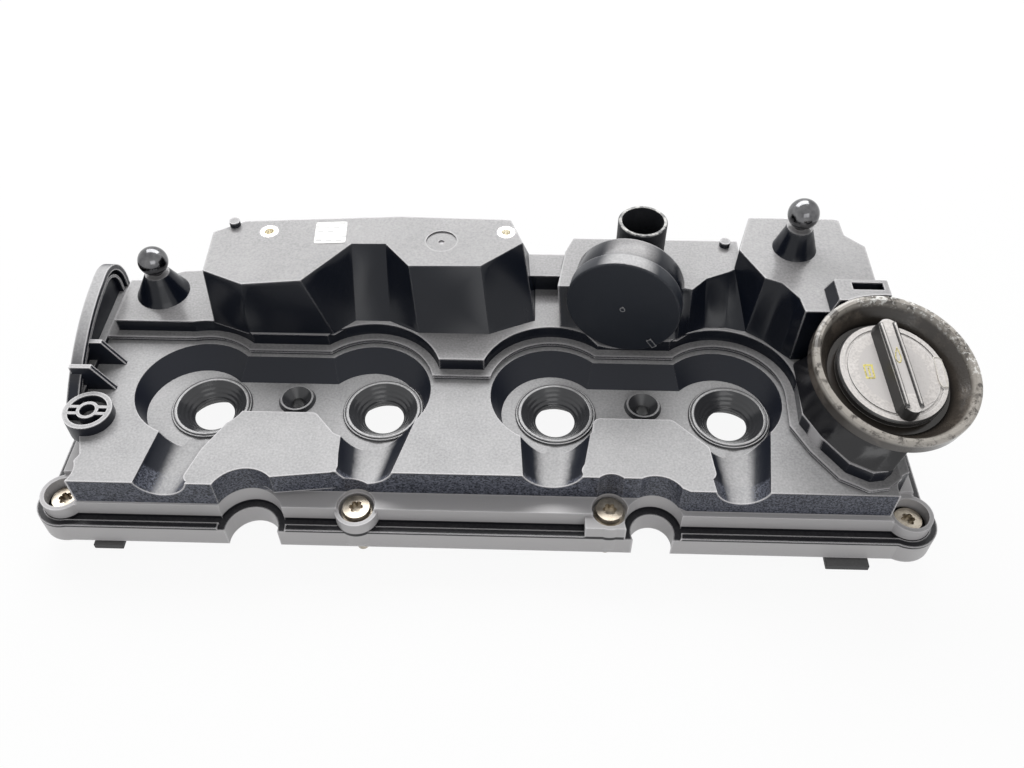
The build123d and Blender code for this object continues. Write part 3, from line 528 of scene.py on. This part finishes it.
# ------------------------------------------------------------------ breather outlet
# A short upright pipe of rough black nylon, moulded by itself and pressed into the housing.
# The hose that was pushed over it has worn its rim pale.
spigot_skin = moulded(
    "spigot_plastic",
    base=(0.014, 0.015, 0.018),
    dust_and_sheen_colour=(0.22, 0.22, 0.22),
    roughness=(0.45, 0.62),
    grain=700.0,
    depth=0.0004,
    clouds=90.0,
)
rim_top = band_along(spigot_skin, up, 0.0999, 0.1002)
worn_rim = chipped(spigot_skin, rim_top, scale=260.0, threshold=0.44, full=0.58)
recolour(spigot_skin, worn_rim, (0.6, 0.59, 0.57))
dress("breather_spigot", spigot_skin)

# ------------------------------------------------------------------ filler funnel
# The mouth for fresh oil, a glossy moulding that leans forward on the right of the cover. Its
# bowl has gone brown with oil, and its rim is chipped where oil cans have rested on it.
rim_centre = np.array((0.2, -0.0115, 0.084))
lean = np.array((0.11, -0.205, 0.973))
lean = lean / np.linalg.norm(lean)
rim_level = float(rim_centre @ lean)
funnel_skin = moulded(
    "funnel_plastic",
    base=(0.01, 0.01, 0.012),
    dust_and_sheen_colour=(0.07, 0.062, 0.055),
    roughness=(0.12, 0.26),
    grain=800.0,
    depth=0.00008,
)


def under_rim(low, high):
    """The mask of the funnel's upper part, along its leaning axis: 0 at the low depth below
    the rim's plane, and 1 from the high depth up."""
    return band_along(funnel_skin, tuple(lean), rim_level - low, rim_level - high)


recolour(funnel_skin, under_rim(0.0125, 0.0085), (0.045, 0.038, 0.032))
oily_area = under_rim(0.0105, 0.005)
brown = chipped(funnel_skin, oily_area, scale=55.0, threshold=0.5, full=0.62)
recolour(funnel_skin, brown, (0.1, 0.083, 0.068))
rim_band = under_rim(0.0036, 0.0008)
recolour(funnel_skin, rim_band, (0.4, 0.372, 0.335))
scuffs = chipped(funnel_skin, rim_band, scale=160.0, threshold=0.5, full=0.6)
recolour(funnel_skin, scuffs, (0.1, 0.09, 0.08))
chipped_side = band_along(funnel_skin, (0.55, 0.83, 0.0), 0.118, 0.124)
chipped_rim = overlap(funnel_skin, rim_band, chipped_side)
bare_chips = chipped(funnel_skin, chipped_rim, scale=420.0, threshold=0.53, full=0.57)
recolour(funnel_skin, bare_chips, (0.82, 0.81, 0.78))
dress("filler_funnel", funnel_skin)

# ------------------------------------------------------------------ filler cap and its seal
# A satin black cap with a bar for the hand and two bayonet lugs, moulded from nylon. It turns
# in the funnel's mouth and presses a rubber ring on the funnel's rim.
cap_skin = moulded(
    "cap_plastic",
    base=(0.025, 0.024, 0.024),
    dust_and_sheen_colour=(0.84, 0.8, 0.77),
    roughness=(0.24, 0.38),
    grain=1500.0,
    depth=0.00007,
)
cap_up = lean
cap_across = np.array((cap_up[2], 0.0, -cap_up[0])) / math.hypot(cap_up[2], cap_up[0])
cap_along = np.cross(cap_up, cap_across)


def on_cap(across, along, above):
    """Points from millimetres on the cap: the middle of the funnel's rim, plus each distance
    times the direction that it runs in. Each distance is a number or an array."""
    distances = np.stack(np.broadcast_arrays(across, along, above), axis=-1)
    return rim_centre + distances @ np.array((cap_across, cap_along, cap_up)) / 1000.0


def swept(name, path, radius, material, body, endless=False, sides=10):
    """A round bead along a path of points. The row of a point is its circle: the point, plus
    the radius times (cos angle times beside + sin angle times above), where beside is the
    path's direction x the cap's axis, and above is beside x the path's direction."""
    if endless:
        ahead = np.roll(path, -1, axis=0) - np.roll(path, 1, axis=0)
    else:
        ahead = np.gradient(path, axis=0)
    ahead /= np.linalg.norm(ahead, axis=1, keepdims=True)
    beside = np.cross(ahead, cap_up)
    beside /= np.linalg.norm(beside, axis=1, keepdims=True)
    above = np.cross(beside, ahead)
    angle = np.linspace(0.0, 2.0 * math.pi, sides, endpoint=False)[None, :, None]
    circles = np.cos(angle) * beside[:, None] + np.sin(angle) * above[:, None]
    rows = path[:, None] + radius * circles
    return skin_mesh(name, rows, material, body, endless=endless)


# the disc's top, in millimetres from the rim's plane
disc_top = -5.0
# where it faces up, the middle of the cap is darker than its border
cap_tree = cap_skin.node_tree
cap_place = add_node(cap_tree, "ShaderNodeTexCoord")
cap_reach = add_node(
    cap_tree, "ShaderNodeVectorMath", {1: on_cap(0.0, 0.0, disc_top)}, operation="DISTANCE"
)
cap_middle = add_node(cap_tree, "ShaderNodeMapRange", {"From Min": 0.0171, "From Max": 0.0167})
cap_tree.links.new(cap_place.outputs["Object"], cap_reach.inputs[0])
cap_tree.links.new(cap_reach.outputs["Value"], cap_middle.inputs["Value"])
cap_dust_and_sheen = cap_tree.nodes["dust_and_sheen"].outputs["Mask"]
cap_middle_dust_and_sheen = overlap(cap_skin, cap_middle.outputs["Result"], cap_dust_and_sheen)
recolour(cap_skin, cap_middle_dust_and_sheen, (0.6, 0.575, 0.56))
rub_and_highlight_corners(cap_skin, 0.0008, (0.8, 0.78, 0.76))
dress("filler_cap", cap_skin, edge=0.0009)

# two ridges along the top of the bar, with the channel between them
bar_direction = (-0.139, 0.99)
bar_half_length, ridge_offset, ridge_radius = 22.5, 3.4, 0.0011
run = np.linspace(-bar_half_length, bar_half_length, 24)
crown = 1.9 + 0.35 * np.cos(run / 14.5)
for side, offset in (("left", -ridge_offset), ("right", ridge_offset)):
    across = bar_direction[0] * run + bar_direction[1] * offset
    along = bar_direction[1] * run - bar_direction[0] * offset
    ridge = on_cap(across, along, crown)
    swept(f"grip_ridge_{side}", ridge, ridge_radius, cap_skin, "cap")

# yellow paint, worn thin in places
mark_paint = bpy.data.materials.new("mark_paint")
mark_paint.use_nodes = True
mark_tree = mark_paint.node_tree
mark_place = add_node(mark_tree, "ShaderNodeTexCoord")
worn_paint = add_node(mark_tree, "ShaderNodeTexNoise", {"Scale": 900.0, "Detail": 4.0})
paint_share = add_node(mark_tree, "ShaderNodeMapRange", {"From Min": 0.38, "From Max": 0.5})
paint_tone = add_node(
    mark_tree,
    "ShaderNodeMix",
    {"A": (0.36, 0.31, 0.16, 1.0), "B": (0.82, 0.72, 0.2, 1.0)},
    data_type="RGBA",
)
mark_shader = mark_tree.nodes["Principled BSDF"]
mark_shader.inputs["Roughness"].default_value = 0.4
mark_tree.links.new(mark_place.outputs["Object"], worn_paint.inputs["Vector"])
mark_tree.links.new(worn_paint.outputs["Fac"], paint_share.inputs["Value"])
mark_tree.links.new(paint_share.outputs["Result"], paint_tone.inputs["Factor"])
mark_tree.links.new(paint_tone.outputs["Result"], mark_shader.inputs["Base Color"])

# it draws a plain panel of windows: for each stroke its middle across and along the cap, its
# width and its length, in millimetres
turned_across = 0.995 * cap_across + 0.1 * cap_along
turned_along = np.cross(cap_up, turned_across)
strokes = (
    (-12.1, 2.35, 4.4, 1.0),
    (-11.9, -4.5, 4.4, 1.0),
    (-14.0, -1.1, 0.9, 7.0),
    (-10.2, -0.9, 0.9, 7.0),
    (-12.1, -1.0, 0.9, 5.0),
)
for number, (across, along, width, length) in enumerate(strokes, start=1):
    pad(
        f"cap_mark_{number}",
        centre=on_cap(across, along, disc_top - 0.02),
        across=turned_across,
        along=turned_along,
        size=(width / 1000.0, length / 1000.0),
        thickness=0.00012,
        material=mark_paint,
        body="cap",
        power=6.0,
    )

# and the outline of a drop on the bar: with t once round, it is sin t times sin(t / 2) to
# the power 1.3 wide, which draws in one end to a point, and cos t long
drop_centre, drop_width, drop_length, drop_height = (-0.7, 5.0), 1.7, 4.0, 2.03
drop_line, border_line = 0.00024, 0.00028
once_round = np.linspace(0.0, 2.0 * math.pi, 40, endpoint=False)
wide = drop_width * np.sin(once_round) * np.sin(once_round / 2.0) ** 1.3
long = drop_length * np.cos(once_round)
drop = on_cap(drop_centre[0] + wide, drop_centre[1] + long, drop_height)
swept("cap_drop", drop, drop_line, mark_paint, "cap", endless=True, sides=6)

# a bare raised plate near the edge of the cap
plate_across, plate_along = 22.6, 2.2
pad(
    "cap_plate",
    centre=on_cap(plate_across, plate_along, disc_top - 0.05),
    across=turned_across,
    along=turned_along,
    size=(0.0042, 0.0172),
    thickness=0.0005,
    material=cap_skin,
    body="cap",
    power=5.0,
)
# with a fine pale border: a rounded box, on which both half sizes take the cosine and the
# sine to the power 0.4 with their signs, and which leans as the plate does
half_width, half_length, squareness = 1.9, 8.0, 0.4
cosine, sine = np.cos(once_round), np.sin(once_round)
wide = half_width * np.sign(cosine) * np.abs(cosine) ** squareness
long = half_length * np.sign(sine) * np.abs(sine) ** squareness
lean_across = -0.1 * half_length * sine
border = on_cap(plate_across + lean_across + wide, plate_along + long, disc_top + 0.45)
pale_print = moulded(
    "pale_print",
    base=(0.6, 0.56, 0.5),
    dust_and_sheen_colour=(0.8, 0.78, 0.74),
    roughness=(0.3, 0.4),
    grain=1500.0,
    depth=0.00003,
)
swept(
    "cap_plate_border",
    border,
    border_line,
    pale_print,
    body="cap",
    endless=True,
    sides=6,
)

ring_skin = moulded(
    "seal_rubber",
    base=(0.02, 0.02, 0.02),
    dust_and_sheen_colour=(0.05, 0.05, 0.05),
    roughness=(0.4, 0.6),
    grain=900.0,
    depth=0.00005,
)
dress("filler_cap_seal", ring_skin)

# ------------------------------------------------------------------ injector and clamp seals
# Moulded rings of black rubber, shiny with oil, pushed over the rims of the cover's wells.
# The four large ones close round the injectors, and the two small ones round the bolts of
# the injectors' clamps.
seal_skin = moulded(
    "injector_rubber",
    base=(0.045, 0.046, 0.05),
    dust_and_sheen_colour=(0.45, 0.445, 0.45),
    roughness=(0.14, 0.3),
    grain=600.0,
    depth=0.00008,
    clouds=70.0,
)
# radius and height in millimetres: up the outside and over the two beads of the lip
lip = (
    (16.95, 17.3),
    (16.95, 31.02),
    (20.3, 31.02),
    (20.48, 31.3),
    (20.4, 31.8),
    (20.1, 32.1),
    (19.5, 32.15),
    (19.35, 31.85),
    (19.2, 31.85),
    (19.05, 32.35),
    (18.8, 32.48),
    (17.9, 32.5),
    (17.4, 32.4),
)
# and from the injector's hole down the inside, opening to the skirt
skirt = ((10.0, 25.05), (10.1, 24.7), (10.6, 24.4), (13.6, 23.2), (14.9, 21.0), (15.2, 17.3))


def injector_ring(name, centre_x):
    """A seal turned about an upright axis at centre_x: x is centre_x + radius times cos
    angle, and y is radius times sin angle. Between lip and skirt the profile is a cone whose
    radius and height fall by 7 and 6.9 mm, with four waves of up to 0.09 mm as its ribs."""
    fall = np.linspace(0.0, 1.0, 41)
    wave = 0.09 * np.sin(8.0 * math.pi * fall) * fall
    cone = np.stack([17.2 - 7.0 * fall - wave, 32.2 - 6.9 * fall + wave], axis=1)
    radius, height = np.vstack([lip, cone, skirt]).T[:, :, None] / 1000.0
    angle = np.linspace(0.0, 2.0 * math.pi, 72, endpoint=False)
    x, y = centre_x + radius * np.cos(angle), radius * np.sin(angle)
    rows = np.stack(np.broadcast_arrays(x, y, height), axis=-1)
    return skin_mesh(name, rows, seal_skin, "cover", endless=True)


injector_pitch = 0.088
for number in (1, 2, 3, 4):
    dress(f"injector_seal_{number}", seal_skin)
    ring = injector_ring(f"ribbed_seal_{number}", injector_pitch * (number - 2.5))
    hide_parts(f"injector_seal_{number}")

clamp_skin = moulded(
    "clamp_rubber",
    base=(0.045, 0.046, 0.05),
    dust_and_sheen_colour=(0.42, 0.415, 0.42),
    roughness=(0.18, 0.34),
    grain=700.0,
    depth=0.00006,
)
for number in (1, 2):
    dress(f"clamp_bolt_seal_{number}", clamp_skin)

# ------------------------------------------------------------------ screws, sleeves, inserts
# Eight flange screws of zinc-nickel plated steel hold the cover down, each in a steel sleeve
# pressed into its boss. Two bright threaded inserts are pressed into the top of the housing.
screw_metal = plated(
    "bolt_steel",
    dark=(0.3, 0.26, 0.21),
    light=(0.55, 0.5, 0.42),
    roughness=(0.26, 0.42),
    grain=1200.0,
    depth=0.00004,
)
sleeve_metal = plated(
    "sleeve_steel",
    dark=(0.35, 0.33, 0.3),
    light=(0.5, 0.48, 0.44),
    roughness=(0.3, 0.45),
    grain=1200.0,
    depth=0.00004,
)
insert_metal = plated(
    "insert_brass",
    dark=(0.75, 0.71, 0.6),
    light=(0.92, 0.9, 0.84),
    roughness=(0.2, 0.34),
    grain=1200.0,
    depth=0.00004,
)
dress("cover_bolts", screw_metal, edge=0.0003)
dress("bolt_sleeves", sleeve_metal)
dress("threaded_inserts", insert_metal, edge=0.0003)

# ------------------------------------------------------------------ gasket
# A matt rubber cord, moulded to the shape of the joint face and pushed into its groove. Two
# of its tabs show below the front edge.
gasket_skin = moulded(
    "gasket_rubber",
    base=(0.05, 0.05, 0.052),
    dust_and_sheen_colour=(0.12, 0.12, 0.12),
    roughness=(0.55, 0.7),
    grain=500.0,
    depth=0.0001,
)
dress("cover_gasket", gasket_skin, edge=0.0004)

# ------------------------------------------------------------------ ball studs
# Two polished dark balls on short necks, turned from steel and pressed into the housing's
# cones. The rubber cups of the engine's top cover snap on them.
stud_metal = plated(
    "stud_metal",
    dark=(0.1, 0.1, 0.105),
    light=(0.2, 0.2, 0.205),
    roughness=(0.1, 0.24),
    grain=500.0,
    depth=0.00003,
)
for side in ("left", "right"):
    dress(f"ball_stud_{side}", stud_metal)

# ------------------------------------------------------------------ floor
# A large sheet of white paper under the cover. It looks white to the eye and in mirrors, but
# it stays pale grey in the light that it throws back, and it keeps a soft shadow.
floor_height = cad_box[0][2]
bpy.ops.mesh.primitive_plane_add(size=6.0, location=(0.0, 0.0, floor_height))
floor = bpy.context.object
floor.name = "floor"


def watched(tree):
    """1 for rays that show the background: to the eye, mirrored, or seen through glass."""
    path = add_node(tree, "ShaderNodeLightPath")
    total = path.outputs["Is Camera Ray"]
    for kind in ("Is Glossy Ray", "Is Transmission Ray"):
        joined = add_node(tree, "ShaderNodeMath", operation="MAXIMUM")
        tree.links.new(total, joined.inputs[0])
        tree.links.new(path.outputs[kind], joined.inputs[1])
        total = joined.outputs["Value"]
    return total


sheet = bpy.data.materials.new("white_sheet")
sheet.use_nodes = True
sheet_tree = sheet.node_tree
paper = sheet_tree.nodes["Principled BSDF"]
paper.inputs["Base Color"].default_value = (0.8, 0.8, 0.8, 1.0)
paper.inputs["Roughness"].default_value = 0.9
glow = add_node(sheet_tree, "ShaderNodeEmission", {"Strength": 1.0})
# the rest of the share is lit paper, which shows the shadow
glow_share = add_node(sheet_tree, "ShaderNodeMath", {1: 0.93}, operation="MULTIPLY")
blend = add_node(sheet_tree, "ShaderNodeMixShader")
sheet_link = sheet_tree.links.new
sheet_link(watched(sheet_tree), glow_share.inputs[0])
sheet_link(glow_share.outputs["Value"], blend.inputs["Fac"])
sheet_link(paper.outputs["BSDF"], blend.inputs[1])
sheet_link(glow.outputs["Emission"], blend.inputs[2])
sheet_link(blend.outputs["Shader"], sheet_tree.nodes["Material Output"].inputs["Surface"])
floor.data.materials.append(sheet)

# ------------------------------------------------------------------ light and camera
# A dim white room whose backdrop shows white, one large soft box high behind the cover, and
# a small fill in front. The camera stands in front of the cover and looks down on it.
world = bpy.data.worlds.new("room")
scene.world = world
world.use_nodes = True
world_tree = world.node_tree
white = (1.0, 1.0, 1.0, 1.0)
room = world_tree.nodes["Background"]
room.inputs["Color"].default_value = white
room.inputs["Strength"].default_value = 0.35
backdrop = add_node(world_tree, "ShaderNodeBackground", {"Color": white, "Strength": 1.0})
either = add_node(world_tree, "ShaderNodeMixShader")
world_link = world_tree.links.new
world_link(watched(world_tree), either.inputs["Fac"])
world_link(room.outputs["Background"], either.inputs[1])
world_link(backdrop.outputs["Background"], either.inputs[2])
world_link(either.outputs["Shader"], world_tree.nodes["World Output"].inputs["Surface"])


def soft_box(name, place, aim, width, depth, power):
    """A rectangular area lamp that looks from its place to a point."""
    lamp_data = bpy.data.lights.new(name, "AREA")
    lamp_data.shape = "RECTANGLE"
    lamp_data.size = width
    lamp_data.size_y = depth
    lamp_data.energy = power
    lamp = bpy.data.objects.new(name, lamp_data)
    lamp.location = place
    lamp.rotation_euler = (Vector(aim) - Vector(place)).to_track_quat("-Z", "Y").to_euler()
    scene.collection.objects.link(lamp)


soft_box(
    "back_box",
    place=(-0.1, 0.8, 0.95),
    aim=(0.0, 0.0, 0.05),
    width=1.5,
    depth=0.7,
    power=19.0,
)
soft_box(
    "front_fill",
    place=(0.3, -1.1, 0.7),
    aim=(0.0, 0.0, 0.03),
    width=0.9,
    depth=0.6,
    power=3.0,
)

camera_data = bpy.data.cameras.new("camera")
camera_data.sensor_width = 36.0
camera_data.lens = 34.2
camera = bpy.data.objects.new("camera", camera_data)
camera.location = (0.0306, -0.3200, 0.4116)
camera.rotation_euler = (math.radians(41.81), 0.0, math.radians(1.56))
scene.collection.objects.link(camera)
scene.camera = camera
